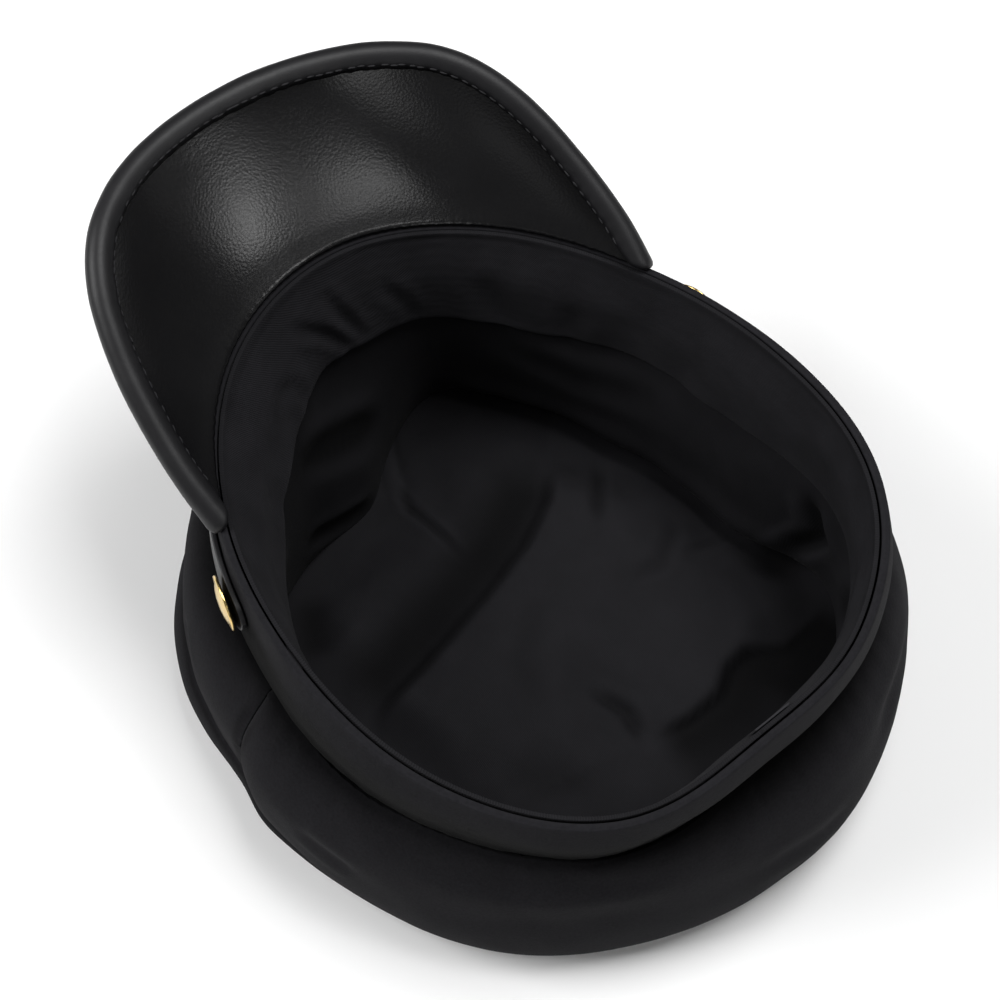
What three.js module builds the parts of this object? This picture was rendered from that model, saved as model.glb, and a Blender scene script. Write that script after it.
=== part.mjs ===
import * as THREE from "three";

// A soft captain hat with a leather visor, lying upside down on the flat of its crown.
// Lengths are millimetres and angles are degrees. Z is up and the crown's flat is at Z = 0.
// Angles run round the hat from the middle of its front, at -Y, to the wearer's right, at +X.

// Rim and band
const headLength = 200; // over the band at the rim, front to back
const headWidth = 172; // over the band at the rim, side to side
const rimHeight = 95; // mean height of the rim above the crown's flat
const bandHeight = 32;
const bandWall = 2.2;
const bandFlare = 6.4; // how far the band's lower edge stands out from under the rim, at most

// Crown
const crownLength = 230;
const crownWidth = 225;
const crownWall = 2;
const crownStep = 0.6; // how far the crown's sewn edge lies in from the band's face
const foldDepth = 3; // deepest soft fold in the crown's side
const dentFade = 0.2; // folds and seams fade over this share of the section at both its ends
const topSeamDepth = 7; // the crease along the seam of the top panel
const topSeamAbove = 0.16; // half the crease's width over the seam, as a share of the section
const topSeamBelow = 0.06; // the same under the seam
const sideSeamAngle = 84;
const sideSeamDepth = 3.5; // how far the front panel lies in from the back one at their seam
const sideSeamFront = 12; // half the crease's width on the front panel, in degrees
const sideSeamBack = 2.5; // the same on the back panel

// Sweatband, lining and size tab
const sweatHeight = 36;
const sweatWall = 1.4;
const liningWall = 1;
const liningPuff = 6; // how high the loose top lining stands off the crown
const liningEdge = 0.985; // reach of the top lining's edge, as a share of the crown's flat
const liningRoll = 9; // how far the loose side lining bulges inwards
const tabLength = 16;
const tabHeight = 8;
const tabWall = 0.6;
const tabDown = 2; // from the rim to the tab

// Visor and its binding
const visorDepth = 58.8;
const visorSpan = 64.7; // from the middle to each corner, round the rim
const visorWall = 2.6;
const visorSlope = 46; // above the horizontal, in the middle
const visorCornerSlope = 6; // added to the slope at the corners
const visorFlare = 0.22; // sideways lean of the corners, against their forward lean
const visorSkew = 0.04; // lean of the whole visor to the wearer's right, against the same
const visorBow = 2.5; // how much the visor's section is hollowed
const visorEnds = 0.05; // share of the outline left to the binding alone at each corner
const bindingWidth = 7.2;
const bindingWall = 1.2;
const bindingTaper = 0.1; // share of the outline over which each end widens to the full width

// Strap and buttons
const strapWidth = 11;
const strapWall = 1.6;
const strapDown = 15; // from the rim to the strap's middle
const strapTail = 9; // from a button's middle to the strap's end
const buttonAngle = 72;
const buttonDiameter = 17;
const buttonHeight = 2.2;

const gap = 0.3; // clearance between neighbouring pieces

// How finely the walls are faceted
const frontSteps = 28;
const backSteps = 38;
const visorSteps = 36;
const strapSteps = 36;
const buttonSides = 24;
const tiny = 0.01;

// The rim: its reach as a share of the plain oval and its lift as a share of the band's height.
const rimRows = [
  { at: 0, reach: 1.03, lift: 0.12 },
  { at: 30, reach: 1.043, lift: 0.14 },
  { at: 60, reach: 1.024, lift: 0.06 },
  { at: 90, reach: 1.012, lift: 0.03 },
  { at: 120, reach: 1.042, lift: -0.09 },
  { at: 150, reach: 1.064, lift: -0.03 },
  { at: 180, reach: 0.99, lift: 0.14 },
  { at: 210, reach: 1.04, lift: 0.06 },
  { at: 240, reach: 1.08, lift: 0 },
  { at: 270, reach: 1.02, lift: -0.14 },
  { at: 300, reach: 0.988, lift: -0.21 },
  { at: 330, reach: 1, lift: -0.08 },
];

// How far the band's lower edge stands out from under the rim, as a share of the flare.
const flareRows = [
  { at: 0, out: -0.1 },
  { at: 40, out: 0.1 },
  { at: 60, out: 0.45 },
  { at: 72, out: 0.55 },
  { at: 82, out: 0.55 },
  { at: 94, out: 0.8 },
  { at: 106, out: 0.7 },
  { at: 122, out: 0.15 },
  { at: 140, out: -0.2 },
  { at: 158, out: -0.45 },
  { at: 180, out: -0.35 },
  { at: 198, out: -0.4 },
  { at: 220, out: 0.1 },
  { at: 245, out: 0.3 },
  { at: 275, out: 0.1 },
  { at: 300, out: 0.4 },
  { at: 325, out: 0 },
];

// The crown: the reach of its widest ring, the place of the top seam as a share of the way
// from the band to the flat, and the depth of its crease as a share of the named one.
const crownRows = [
  { at: 0, reach: 1, seam: 0.46, crease: 0.9 },
  { at: 35, reach: 1.012, seam: 0.45, crease: 0.9 },
  { at: 60, reach: 1.024, seam: 0.462, crease: 0.85 },
  { at: 80, reach: 0.995, seam: 0.555, crease: 0.5 },
  { at: 110, reach: 0.96, seam: 0.69, crease: 0.15 },
  { at: 137, reach: 0.978, seam: 0.7, crease: 0.12 },
  { at: 158, reach: 0.978, seam: 0.7, crease: 0.12 },
  { at: 180, reach: 0.996, seam: 0.7, crease: 0.12 },
  { at: 198, reach: 1.01, seam: 0.7, crease: 0.12 },
  { at: 225, reach: 1, seam: 0.7, crease: 0.12 },
  { at: 250, reach: 0.985, seam: 0.69, crease: 0.15 },
  { at: 280, reach: 1.02, seam: 0.57, crease: 0.6 },
  { at: 300, reach: 1.03, seam: 0.462, crease: 0.85 },
  { at: 325, reach: 1.008, seam: 0.45, crease: 0.9 },
];

// The crown's section from the band's lower edge to the flat: the height as a share of the
// edge's height, how far out as a share of the way to the widest ring, and how far the ring
// is drawn in again below it.
const crownSection = [
  { up: 1, out: 0, tuck: 0 },
  { up: 0.955, out: 0.22, tuck: 0 },
  { up: 0.88, out: 0.46, tuck: 0 },
  { up: 0.78, out: 0.68, tuck: 0 },
  { up: 0.66, out: 0.84, tuck: 0 },
  { up: 0.53, out: 0.94, tuck: 0 },
  { up: 0.4, out: 0.99, tuck: 0 },
  { up: 0.28, out: 1, tuck: 0 },
  { up: 0.17, out: 1, tuck: 0.012 },
  { up: 0.085, out: 1, tuck: 0.03 },
  { up: 0.025, out: 1, tuck: 0.056 },
  { up: 0, out: 1, tuck: 0.09 },
  { up: 0, out: 1, tuck: 0.125 },
];

// Soft folds in the crown's side: the middle, as an angle and a share of the way from the
// band to the flat, half the length in degrees, half the height as such a share, and the
// depth as a share of the deepest fold. A negative depth is a swelling.
const crownFolds = [
  { at: 20, way: 0.28, long: 16, tall: 0.07, deep: 0.5 },
  { at: 62, way: 0.26, long: 12, tall: 0.09, deep: 0.6 },
  { at: 97, way: 0.3, long: 12, tall: 0.1, deep: -0.5 },
  { at: 112, way: 0.46, long: 9, tall: 0.12, deep: 0.5 },
  { at: 143, way: 0.33, long: 22, tall: 0.05, deep: 0.55 },
  { at: 143, way: 0.5, long: 15, tall: 0.06, deep: 0.6 },
  { at: 172, way: 0.42, long: 9, tall: 0.12, deep: 0.45 },
  { at: 205, way: 0.36, long: 14, tall: 0.07, deep: 0.6 },
  { at: 236, way: 0.45, long: 10, tall: 0.12, deep: -0.4 },
  { at: 262, way: 0.3, long: 12, tall: 0.08, deep: 0.6 },
  { at: 300, way: 0.26, long: 14, tall: 0.08, deep: 0.5 },
  { at: 338, way: 0.32, long: 13, tall: 0.08, deep: 0.55 },
];

// The lean of the sweatband's free edge away from the band, as a share of its height.
const sweatRows = [
  { at: 0, lean: 0.14 },
  { at: 12, lean: 0.17 },
  { at: 27, lean: 0.28 },
  { at: 40, lean: 0.37 },
  { at: 53, lean: 0.37 },
  { at: 72, lean: 0.26 },
  { at: 95, lean: 0.1 },
  { at: 120, lean: 0.05 },
  { at: 150, lean: 0.04 },
  { at: 180, lean: 0.05 },
  { at: 210, lean: 0.04 },
  { at: 245, lean: 0.02 },
  { at: 262, lean: 0.11 },
  { at: 280, lean: 0.17 },
  { at: 300, lean: 0.155 },
  { at: 318, lean: 0.2 },
  { at: 332, lean: 0.12 },
  { at: 347, lean: 0.08 },
];

// Gathers in the sweatband's free edge: the place, half the width in degrees, and the depth
// as a share of the sweatband's height.
const gathers = [
  { at: 1, wide: 3.5, deep: 0.04 },
  { at: 10, wide: 4, deep: -0.04 },
  { at: 22, wide: 4, deep: 0.04 },
  { at: 48, wide: 5, deep: -0.04 },
  { at: 62, wide: 6, deep: 0.03 },
  { at: 289, wide: 8, deep: -0.03 },
  { at: 338, wide: 5, deep: -0.03 },
  { at: 353, wide: 4, deep: 0.03 },
];

// The foot of the side lining on the top lining, as a share of the crown's widest oval, and
// the bulge above it as a share of the named roll.
const liningRows = [
  { at: 0, foot: 0.72, roll: 0.3 },
  { at: 14, foot: 0.62, roll: 0.3 },
  { at: 36, foot: 0.7, roll: 0.3 },
  { at: 62, foot: 0.78, roll: 0.3 },
  { at: 95, foot: 0.82, roll: 0.3 },
  { at: 135, foot: 0.84, roll: 0.3 },
  { at: 180, foot: 0.84, roll: 0.3 },
  { at: 228, foot: 0.84, roll: 0.2 },
  { at: 242, foot: 0.84, roll: 0.1 },
  { at: 250, foot: 0.78, roll: 0.5 },
  { at: 260, foot: 0.69, roll: 0.9 },
  { at: 280, foot: 0.675, roll: 1 },
  { at: 300, foot: 0.685, roll: 1 },
  { at: 318, foot: 0.75, roll: 0.9 },
  { at: 332, foot: 0.81, roll: 0.6 },
  { at: 345, foot: 0.84, roll: 0.4 },
];

// Creases in the top lining: both ends and the width as shares of half the crown's length,
// and the depth as a share of the lining's rise.
const liningCreases = [
  { fromX: 0.04, fromY: -0.66, toX: 0, toY: -0.28, wide: 0.06, deep: 0.6 },
  { fromX: 0.4, fromY: -0.56, toX: 0.12, toY: -0.56, wide: 0.09, deep: 0.8 },
  { fromX: -0.1, fromY: -0.24, toX: 0.46, toY: -0.1, wide: 0.1, deep: 0.5 },
  { fromX: -0.02, fromY: 0.4, toX: -0.2, toY: 0.42, wide: 0.07, deep: 0.7 },
  { fromX: -0.2, fromY: 0.42, toX: -0.54, toY: 0.42, wide: 0.08, deep: 0.6 },
  { fromX: -0.02, fromY: 0.26, toX: 0.04, toY: 0.38, wide: 0.05, deep: 0.5 },
  { fromX: -0.44, fromY: -0.34, toX: -0.32, toY: -0.16, wide: 0.06, deep: 0.6 },
];

// The visor's outline from its corner to its middle, as shares of its span and its depth.
const visorRows = [
  { side: 1, deep: 0 },
  { side: 0.965, deep: 0.22 },
  { side: 0.9, deep: 0.43 },
  { side: 0.81, deep: 0.66 },
  { side: 0.7, deep: 0.86 },
  { side: 0.57, deep: 0.975 },
  { side: 0.4, deep: 1 },
  { side: 0.2, deep: 0.975 },
  { side: 0, deep: 0.96 },
];

const { clamp, degToRad, euclideanModulo, lerp, radToDeg, smoothstep } = THREE.MathUtils;
const sine = (angle) => Math.sin(degToRad(angle));
const cosine = (angle) => Math.cos(degToRad(angle));
const bell = (distance, width) => Math.exp(-((distance / width) ** 2));
const turnBetween = (a, b) => euclideanModulo(a - b + 180, 360) - 180;
const evenly = (from, to, steps) =>
  Array.from({ length: steps + 1 }, (_, i) => lerp(from, to, i / steps));

// One column of a table of angles, as a smooth value all the way round.
function around(rows, column, at) {
  const turn = euclideanModulo(at, 360);
  const place = (index) => {
    const lap = Math.floor(index / rows.length);
    const row = rows[index - lap * rows.length];
    return { at: row.at + 360 * lap, value: row[column] };
  };
  const above = rows.findIndex((row) => row.at > turn);
  const next = above < 0 ? rows.length : above;
  const [a, b, c, d] = [next - 2, next - 1, next, next + 1].map(place);
  const span = c.at - b.at;
  const share = (turn - b.at) / span;
  const slopeB = ((c.value - a.value) / (c.at - a.at)) * span;
  const slopeC = ((d.value - b.value) / (d.at - b.at)) * span;
  const rise = c.value - b.value;
  const bend = slopeB + slopeC - 2 * rise;
  return b.value + share * (slopeB + share * (rise - slopeB - bend + share * bend));
}

// A closed wall through sections, each an outer and an inner row of paired points. The
// sections go all the way round where joined is true, and centres closes a round panel.
function loft(sections, { joined = false, centres = [] } = {}) {
  const rows = sections[0].outer.length;
  const side = 2 * rows;
  const points = sections.flatMap(({ outer, inner }) => [...outer, ...inner.toReversed()]);
  const faces = [];
  const quad = (a, b, c, d) => faces.push(a, b, c, a, c, d);
  const turnedQuad = (a, b, c, d) => faces.push(a, b, d, b, c, d);
  const laps = joined ? sections.length : sections.length - 1;
  for (let i = 0; i < laps; i++) {
    const here = i * side;
    const there = ((i + 1) % sections.length) * side;
    for (let j = 0; j < side; j++) {
      const k = (j + 1) % side;
      if (centres.length && j === rows - 1) {
        const outerCentre = points.length;
        faces.push(here + j, outerCentre, there + j);
        faces.push(here + k, there + k, outerCentre + 1);
      } else {
        // Both faces of the wall are split along the same diagonal.
        const split = j < rows ? quad : turnedQuad;
        split(here + j, here + k, there + k, there + j);
      }
    }
  }
  if (!joined) {
    const end = (sections.length - 1) * side;
    for (let j = 0; j < rows - 1; j++) {
      quad(j, side - 1 - j, side - 2 - j, j + 1);
      quad(end + j, end + j + 1, end + side - 2 - j, end + side - 1 - j);
    }
  }
  const geometry = new THREE.BufferGeometry().setFromPoints([...points, ...centres]);
  geometry.setIndex(faces);
  geometry.computeVertexNormals();
  return geometry;
}

// Stations round the hat, with one on each side seam, shared by all the walls.
const frontStations = evenly(-sideSeamAngle, sideSeamAngle, frontSteps);
const backStations = evenly(sideSeamAngle, 360 - sideSeamAngle, backSteps);
const stations = [...frontStations, ...backStations.slice(1, -1)];

const oval = (length, width, at) =>
  new THREE.Vector3((width / 2) * sine(at), (-length / 2) * cosine(at), 0);
const facing = (at) =>
  new THREE.Vector3(headLength * sine(at), -headWidth * cosine(at), 0).normalize();

// A point of the band, down from the rim and in from its outer face.
function bandPoint(at, down, inset) {
  const reach = around(rimRows, "reach", at);
  const lift = bandHeight * around(rimRows, "lift", at);
  const flare = (bandFlare * around(flareRows, "out", at) * down) / bandHeight;
  return oval(headLength * reach, headWidth * reach, at)
    .addScaledVector(facing(at), flare - inset)
    .setZ(rimHeight + lift - down);
}

function band() {
  const downs = [0, bandHeight / 2, bandHeight];
  const sections = stations.map((at) => ({
    outer: downs.map((down) => bandPoint(at, down, 0)),
    inner: downs.map((down) => bandPoint(at, down, bandWall)),
  }));
  return loft(sections, { joined: true });
}

// The crown's outer face, at a share of the way from the band to the flat.
const crownCurve = new THREE.CatmullRomCurve3(
  crownSection.map(({ up, out, tuck }) => new THREE.Vector3(up, out, tuck)),
  false,
  "catmullrom",
  0.5,
);

function crownSkin(at, way) {
  const { x: up, y: out, z: tuck } = crownCurve.getPoint(way);
  const edge = bandPoint(at, bandHeight, crownStep);
  const edgeHeight = edge.z - gap;
  const reach = around(crownRows, "reach", at) * (1 - tuck);
  // Both creases are wide on the front panel's side and narrow on the other.
  const fromTopSeam = way - topSeam(at);
  const topCrease = bell(fromTopSeam, fromTopSeam < 0 ? topSeamAbove : topSeamBelow);
  const fromSideSeam = Math.abs(turnBetween(at, 0)) - sideSeamAngle;
  const sideCrease = bell(fromSideSeam, fromSideSeam < 0 ? sideSeamFront : sideSeamBack);
  let dent = topSeamDepth * around(crownRows, "crease", at) * topCrease;
  dent += sideSeamDepth * sideCrease;
  for (const fold of crownFolds) {
    const turn = bell(turnBetween(at, fold.at), fold.long);
    dent += foldDepth * fold.deep * turn * bell(way - fold.way, fold.tall);
  }
  return edge
    .lerp(oval(crownLength * reach, crownWidth * reach, at), out)
    .addScaledVector(facing(at), -dent * smoothstep(way, 0, dentFade) * smoothstep(1 - way, 0, dentFade))
    .setZ(Math.max(up, 0) * edgeHeight);
}

function crownPoint(at, way, inset) {
  const round = crownSkin(at + tiny, way).sub(crownSkin(at - tiny, way));
  const below = crownSkin(at, Math.min(way + tiny, 1));
  const above = crownSkin(at, Math.max(way - tiny, 0));
  const normal = below.sub(above).cross(round).normalize();
  return crownSkin(at, way).addScaledVector(normal, -inset);
}

const topSeam = (at) => around(crownRows, "seam", at);

// The edge of a panel at the top seam, half the clearance above it (-1) or below it (1).
function topSeamEdge(at, side) {
  const way = topSeam(at);
  const length = crownSkin(at, way + tiny).distanceTo(crownSkin(at, way - tiny)) / (2 * tiny);
  return way + (side * gap) / 2 / length;
}

function crownSections(angles, waysAt) {
  return angles.map((at) => ({
    outer: waysAt(at).map((way) => crownPoint(at, way, 0)),
    inner: waysAt(at).map((way) => crownPoint(at, way, crownWall)),
  }));
}

function crownSide(angles) {
  const halfGap = radToDeg(gap / crownWidth);
  const middle = (angles[0] + angles.at(-1)) / 2;
  const trimmed = angles.map((at, i) =>
    i === 0 || i === angles.length - 1 ? at + halfGap * Math.sign(middle - at) : at,
  );
  const shares = [0, 0.09, 0.22, 0.36, 0.5, 0.64, 0.78, 0.9, 1];
  return loft(crownSections(trimmed, (at) => shares.map((share) => share * topSeamEdge(at, -1))));
}

function crownTop() {
  const shares = [0, 0.12, 0.3, 0.52, 0.76, 1];
  const waysAt = (at) => shares.map((share) => lerp(topSeamEdge(at, 1), 1, share));
  const centres = [new THREE.Vector3(0, 0, 0), new THREE.Vector3(0, 0, crownWall)];
  return loft(crownSections(stations, waysAt), { joined: true, centres });
}

// Rows of the sweatband, as shares of its height. The side lining comes in between it and the
// band from the second row on.
const sweatShares = [0, 0.3, 0.65, 1];

// The face of the sweatband that is turned to the band, in from the band's outer face.
function sweatInset(at, share) {
  let lean = around(sweatRows, "lean", at) * share;
  for (const gather of gathers) {
    lean += gather.deep * bell(turnBetween(at, gather.at), gather.wide) * share ** 2;
  }
  const liningRoom = (liningWall + gap) * Math.min(share / sweatShares[1], 1);
  return bandWall + gap + liningRoom + sweatHeight * Math.max(lean, 0);
}

function sweatband() {
  const sections = stations.map((at) => {
    const wall = (depth) =>
      sweatShares.map((share) =>
        bandPoint(at, share * sweatHeight, sweatInset(at, share) + depth),
      );
    return { outer: wall(0), inner: wall(sweatWall) };
  });
  return loft(sections, { joined: true });
}

function sizeTab() {
  const span = radToDeg(tabLength / (headLength / 2));
  const sections = evenly(180, 180 + span, 4).map((at) => {
    const wall = (depth) =>
      evenly(tabDown, tabDown + tabHeight, 2).map((down) => {
        const seat = sweatInset(at, down / sweatHeight) + sweatWall + gap;
        return bandPoint(at, down, seat + depth);
      });
    return { outer: wall(0), inner: wall(tabWall) };
  });
  return loft(sections);
}

const liningBase = crownWall + gap + liningWall; // upper face of the top lining at its edge

function liningSide() {
  const sections = stations.map((at) => {
    const foot = around(liningRows, "foot", at);
    const roll = liningRoll * around(liningRows, "roll", at);
    const wall = (depth) => {
      const behind = sweatShares.slice(1).map((share) => {
        const inset = sweatInset(at, share) - gap - liningWall + depth;
        return bandPoint(at, share * sweatHeight, inset);
      });
      const edge = behind.at(-1);
      const end = oval(crownLength * foot, crownWidth * foot, at)
        .addScaledVector(facing(at), -depth)
        .setZ(liningBase + gap);
      const below = evenly(0, 1, 4).slice(1);
      const loose = below.map((share) => {
        const bulge = -roll * Math.sin(Math.PI * share);
        const point = edge.clone().lerp(end, smoothstep(share, 0, 1));
        return point.addScaledVector(facing(at), bulge).setZ(lerp(edge.z, end.z, share));
      });
      return [...behind, ...loose];
    };
    return { outer: wall(0), inner: wall(liningWall) };
  });
  return loft(sections, { joined: true });
}

// Rise of the top lining, from 0 at the side lining's foot to 1 where it stands highest.
function liningRise(point, inward) {
  const half = crownLength / 2;
  const from = new THREE.Vector3();
  const to = new THREE.Vector3();
  const nearest = new THREE.Vector3();
  let rise = smoothstep(inward, 0.08, 0.35);
  for (const { fromX, fromY, toX, toY, wide, deep } of liningCreases) {
    from.set(fromX * half, fromY * half, 0);
    to.set(toX * half, toY * half, 0);
    new THREE.Line3(from, to).closestPointToPoint(point, true, nearest);
    rise *= 1 - deep * bell(point.distanceTo(nearest), wide * half);
  }
  return rise;
}

function liningTop() {
  const shares = [1, 0.91, 0.8, 0.66, 0.5, 0.33, 0.16];
  const edgeShare = liningEdge * (1 - crownSection.at(-1).tuck);
  const sections = stations
    .filter((_, i) => i % 2 === 0)
    .map((at) => {
      const foot = around(liningRows, "foot", at);
      const wall = (depth) => {
        const edge = oval(crownLength * edgeShare, crownWidth * edgeShare, at);
        const inside = shares.map((share) => {
          const point = oval(crownLength * foot * share, crownWidth * foot * share, at);
          return point.setZ(liningPuff * liningRise(point, 1 - share));
        });
        return [edge, ...inside].map((point) => point.setZ(point.z + liningBase - depth));
      };
      return { outer: wall(liningWall), inner: wall(0) };
    });
  const centre = new THREE.Vector3();
  const height = liningBase + liningPuff * liningRise(centre, 1);
  const centres = [liningWall, 0].map((depth) => centre.clone().setZ(height - depth));
  return loft(sections, { joined: true, centres });
}

// The middle of the visor's thickness, at a share of its span and a distance from the rim.
const visorRoot = (gap + (visorWall / 2) * cosine(visorSlope)) / sine(visorSlope);

function visorMiddle(side, deep) {
  const at = side * visorSpan;
  const slope = visorSlope + visorCornerSlope * side ** 2;
  const flare = (visorFlare * sine(at)) / sine(visorSpan);
  const lean = new THREE.Vector3(visorSkew + flare, -cosine(slope), sine(slope)).normalize();
  const hollow = new THREE.Vector3(0, -sine(slope), -cosine(slope));
  const share = clamp(deep / visorDepth, 0, 1);
  return bandPoint(at, 0, bandWall / 2)
    .addScaledVector(lean, deep)
    .addScaledVector(hollow, 4 * visorBow * share * (1 - share));
}

const visorAcross = (side, deep) =>
  visorMiddle(side + tiny, deep).sub(visorMiddle(side - tiny, deep)).divideScalar(2 * tiny);
const visorAway = (side, deep) =>
  visorMiddle(side, deep + tiny).sub(visorMiddle(side, deep - tiny)).divideScalar(2 * tiny);
const visorNormal = (side, deep) =>
  visorAway(side, deep).cross(visorAcross(side, deep)).normalize();

function visorPoint({ side, deep }, lift) {
  return visorMiddle(side, deep).addScaledVector(visorNormal(side, deep), lift);
}

// The outline from the left corner, round the front, to the right corner.
const visorEdge = visorRows.map(({ side, deep }) => ({
  side,
  deep: lerp(visorRoot, visorDepth, deep),
}));
const visorOutline = new THREE.SplineCurve([
  ...visorEdge.map(({ side, deep }) => new THREE.Vector2(-side, deep)),
  ...visorEdge.slice(0, -1).toReversed().map(({ side, deep }) => new THREE.Vector2(side, deep)),
]);

// The place on the visor that lies a distance in from its edge, at a share of the outline.
function visorInside(share, distance) {
  const { x: side, y: deep } = visorOutline.getPoint(share);
  const before = visorOutline.getPoint(Math.max(share - tiny / 2, 0));
  const after = visorOutline.getPoint(Math.min(share + tiny / 2, 1));
  const edgeway = visorMiddle(after.x, after.y).sub(visorMiddle(before.x, before.y));
  const move = visorNormal(side, deep).cross(edgeway).setLength(distance);
  const across = visorAcross(side, deep);
  const away = visorAway(side, deep);
  const [aa, ab, bb] = [across.dot(across), across.dot(away), away.dot(away)];
  const [am, bm] = [across.dot(move), away.dot(move)];
  const scale = aa * bb - ab ** 2;
  return {
    side: side + (bb * am - ab * bm) / scale,
    deep: Math.max(visorRoot, deep + (aa * bm - ab * am) / scale),
  };
}

function visor() {
  const shares = [0, 0.2, 0.4, 0.6, 0.8, 1];
  const sections = evenly(visorEnds, 1 - visorEnds, visorSteps).map((share) => {
    const edge = visorInside(share, bindingWall + gap);
    const face = (lift) =>
      shares.map((part) =>
        visorPoint({ side: edge.side, deep: lerp(visorRoot, edge.deep, part) }, lift),
      );
    return { outer: face(visorWall / 2), inner: face(-visorWall / 2) };
  });
  return loft(sections);
}

function visorBinding() {
  const channel = visorWall / 2 + gap;
  const cover = channel + bindingWall;
  const shoulder = 0.85 * cover;
  const sections = evenly(0, 1, visorSteps + 8).map((share) => {
    const ends = smoothstep(Math.min(share, 1 - share), 0, bindingTaper);
    const width = lerp(bindingWidth / 2, bindingWidth, ends);
    const middle = (bindingWall + width) / 2;
    const row = (places) =>
      places.map(([distance, lift]) => visorPoint(visorInside(share, distance), lift));
    return {
      outer: row([
        [width, cover],
        [middle, cover],
        [bindingWall, shoulder],
        [tiny, 0],
        [bindingWall, -shoulder],
        [middle, -cover],
        [width, -cover],
      ]),
      inner: row([
        [width, channel],
        [middle, channel],
        [bindingWall, channel],
        [bindingWall, 0],
        [bindingWall, -channel],
        [middle, -channel],
        [width, -channel],
      ]),
    };
  });
  return loft(sections);
}

function strap() {
  const end = radToDeg(strapTail / (headLength / 2)) + buttonAngle;
  const sections = evenly(-1, 1, strapSteps).map((share) => {
    const at = end * Math.sin((share * Math.PI) / 2);
    const fromEnd = degToRad(end - Math.abs(at)) * (headLength / 2);
    const round = clamp(1 - fromEnd / (strapWidth / 2), 0, 0.97);
    const half = (strapWidth / 2) * Math.sqrt(1 - round ** 2);
    const face = (rise) =>
      evenly(-half, half, 4).map((across) => bandPoint(at, strapDown + across, -gap - rise));
    return { outer: face(strapWall), inner: face(0) };
  });
  return loft(sections);
}

// Where a button's flat back sits, upright and clear of the strap under the whole of its rim.
function buttonSeat(at) {
  const axis = facing(at);
  const seat = bandPoint(at, strapDown, -gap - strapWall);
  const turn = radToDeg(buttonDiameter / headLength);
  const heights = [-turn, -turn / 2, 0, turn / 2, turn].flatMap((offset) =>
    [-strapWidth / 2, 0, strapWidth / 2].map((across) =>
      bandPoint(at + offset, strapDown + across, -gap - strapWall).sub(seat).dot(axis),
    ),
  );
  return { seat: seat.addScaledVector(axis, gap + Math.max(...heights)), axis };
}

function button() {
  const radius = buttonDiameter / 2;
  const profile = [
    [0, 0],
    [0.9, 0],
    [1, 0.12],
    [1, 0.28],
    [0.94, 0.38],
    [0.84, 0.4],
    [0.62, 0.72],
    [0.34, 0.92],
    [0, 1],
  ].map(([out, up]) => new THREE.Vector2(out * radius, up * buttonHeight));
  return new THREE.LatheGeometry(profile, buttonSides);
}

const cloth = new THREE.MeshStandardMaterial({ color: 0x101012, roughness: 0.95, metalness: 0 });
const twill = new THREE.MeshStandardMaterial({ color: 0x141416, roughness: 0.9, metalness: 0 });
const liningCloth = new THREE.MeshStandardMaterial({ color: 0x0c0c0d, roughness: 0.85, metalness: 0 });
const leather = new THREE.MeshStandardMaterial({ color: 0x0b0b0c, roughness: 0.35, metalness: 0 });
const brass = new THREE.MeshStandardMaterial({ color: 0xb5924a, roughness: 0.3, metalness: 1 });

const hat = new THREE.Group();

function add(name, geometry, material) {
  const mesh = new THREE.Mesh(geometry, material);
  mesh.name = name;
  hat.add(mesh);
  return mesh;
}

add("crown_top", crownTop(), cloth);
add("crown_front_panel", crownSide(frontStations), cloth);
add("crown_back_panel", crownSide(backStations), cloth);
add("band", band(), cloth);
add("sweatband", sweatband(), twill);
add("lining_side", liningSide(), liningCloth);
add("lining_top", liningTop(), liningCloth);
add("size_tab", sizeTab(), liningCloth);
add("visor", visor(), leather);
add("visor_binding", visorBinding(), leather);
add("strap", strap(), leather);

for (const [name, at] of [["button_right", buttonAngle], ["button_left", -buttonAngle]]) {
  const mesh = add(name, button(), brass);
  const { seat, axis } = buttonSeat(at);
  mesh.position.copy(seat);
  mesh.quaternion.setFromUnitVectors(new THREE.Vector3(0, 1, 0), axis);
}

// The origin is on the floor under the middle of the whole hat.
const middle = new THREE.Box3().setFromObject(hat).getCenter(new THREE.Vector3());
hat.position.set(-middle.x, -middle.y, 0);

export default hat;
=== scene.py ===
import math

import bmesh
import bpy
import numpy as np
from mathutils import Matrix, Vector, kdtree, noise


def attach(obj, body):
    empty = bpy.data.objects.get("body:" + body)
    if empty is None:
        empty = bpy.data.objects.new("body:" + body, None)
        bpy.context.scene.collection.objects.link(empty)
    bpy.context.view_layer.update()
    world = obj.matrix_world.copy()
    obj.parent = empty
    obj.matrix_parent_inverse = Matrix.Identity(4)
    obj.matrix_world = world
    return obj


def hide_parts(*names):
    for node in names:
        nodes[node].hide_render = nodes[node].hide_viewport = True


# A soft captain hat, lying upside down on its crown. The frame is in metres and the tables are
# in millimetres and degrees. Angles run from the middle of the front to the wearer's right.
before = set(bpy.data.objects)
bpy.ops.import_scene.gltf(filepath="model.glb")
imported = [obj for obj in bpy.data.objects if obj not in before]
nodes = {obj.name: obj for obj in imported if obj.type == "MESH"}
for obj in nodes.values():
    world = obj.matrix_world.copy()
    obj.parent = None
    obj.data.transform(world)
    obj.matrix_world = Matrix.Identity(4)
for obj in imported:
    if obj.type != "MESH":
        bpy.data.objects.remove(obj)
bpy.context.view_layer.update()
scene = bpy.context.scene
mm = 0.001

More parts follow.
